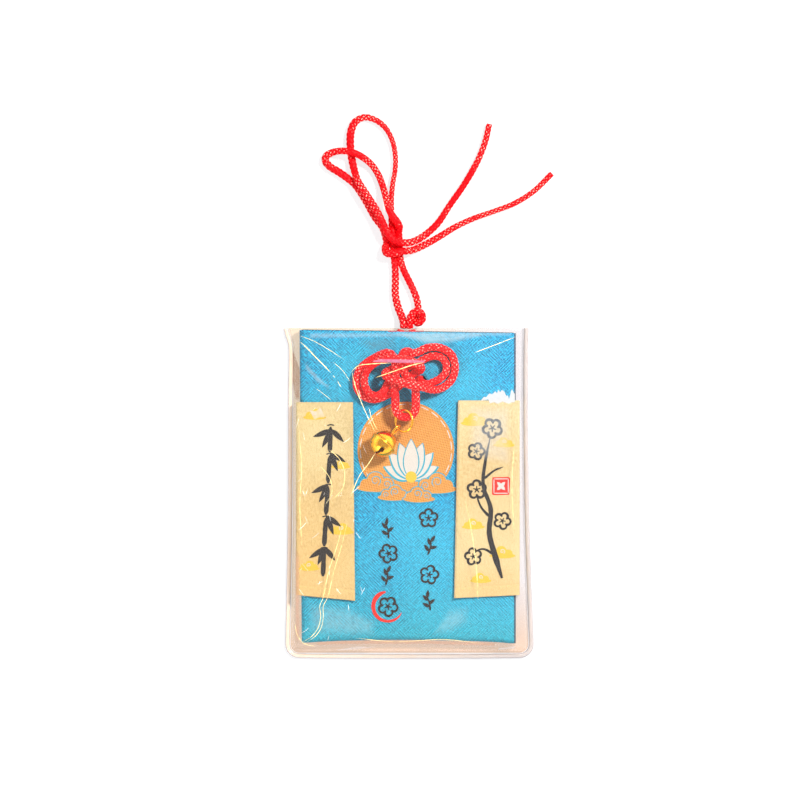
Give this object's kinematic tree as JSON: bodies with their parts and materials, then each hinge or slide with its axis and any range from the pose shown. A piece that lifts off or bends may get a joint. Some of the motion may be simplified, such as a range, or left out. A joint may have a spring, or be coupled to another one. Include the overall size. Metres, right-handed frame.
{
  "type": "amulet sachet",
  "caption": "Flat woven pouch amulet with a wrap band, a tied round cord and a small jingle bell on a ring, in a clear open-topped sleeve.",
  "frame": {"origin": "middle of the sleeve, on the surface that the sachet lies on", "axes": "+Y up the pouch towards the open mouth, +Z out of the front, +X to the right as seen from the front"},
  "size_m": [0.0624, 0.1252, 0.0107],
  "materials": {
    "clear_film": "clear soft PVC film, glossy, faintly warm",
    "weld_bead": "welded and cut PVC edge, glossy, milky",
    "brocade": "sky blue woven cloth, satin",
    "lining": "dark navy cloth, matt",
    "band_cloth": "ivory gold satin cloth",
    "card": "grey board, matt",
    "slip_paper": "thin paper, matt",
    "braided_cord": "red braided polyester cord, silky",
    "gilt_metal": "polished gold-coloured plating",
    "clapper_steel": "plain steel ball"
  },
  "bodies": {
    "sleeve": {"sleeve_back_film": "clear_film", "sleeve_front_film": "clear_film", "sleeve_weld_bead": "weld_bead"},
    "amulet": {"pouch_front_cloth": "brocade", "pouch_back_cloth": "lining", "wrap_band": "band_cloth", "stiffener_card": "card", "paper_talisman": "slip_paper", "front_knot_cord": "braided_cord", "left_cord": "braided_cord", "right_cord": "braided_cord"},
    "ring": {"jump_ring": "gilt_metal"},
    "bell": {"bell_upper_shell": "gilt_metal", "bell_lower_shell": "gilt_metal", "bell_bail": "gilt_metal"},
    "clapper": {"bell_clapper": "clapper_steel"}
  },
  "joints": [
    {"name": "sleeve_slide", "type": "slide", "parent": "sleeve", "child": "amulet", "axis": [0, 1, 0], "range_m": [0, 0.076]},
    {"name": "ring_swing", "type": "hinge", "parent": "amulet", "child": "ring", "pos_m": [-0.00069, 0.01981, 0.00675], "axis": [0, 0, 1], "range_deg": [-18, 18]},
    {"name": "bell_swing", "type": "hinge", "parent": "ring", "child": "bell", "pos_m": [-0.0025, 0.015, 0.00554], "axis": [0, 0, 1], "range_deg": [-15, 15]},
    {"name": "clapper_bounce", "type": "slide", "parent": "bell", "child": "clapper", "axis": [0, 0, 1], "range_m": [0, 0.0032]}
  ]
}
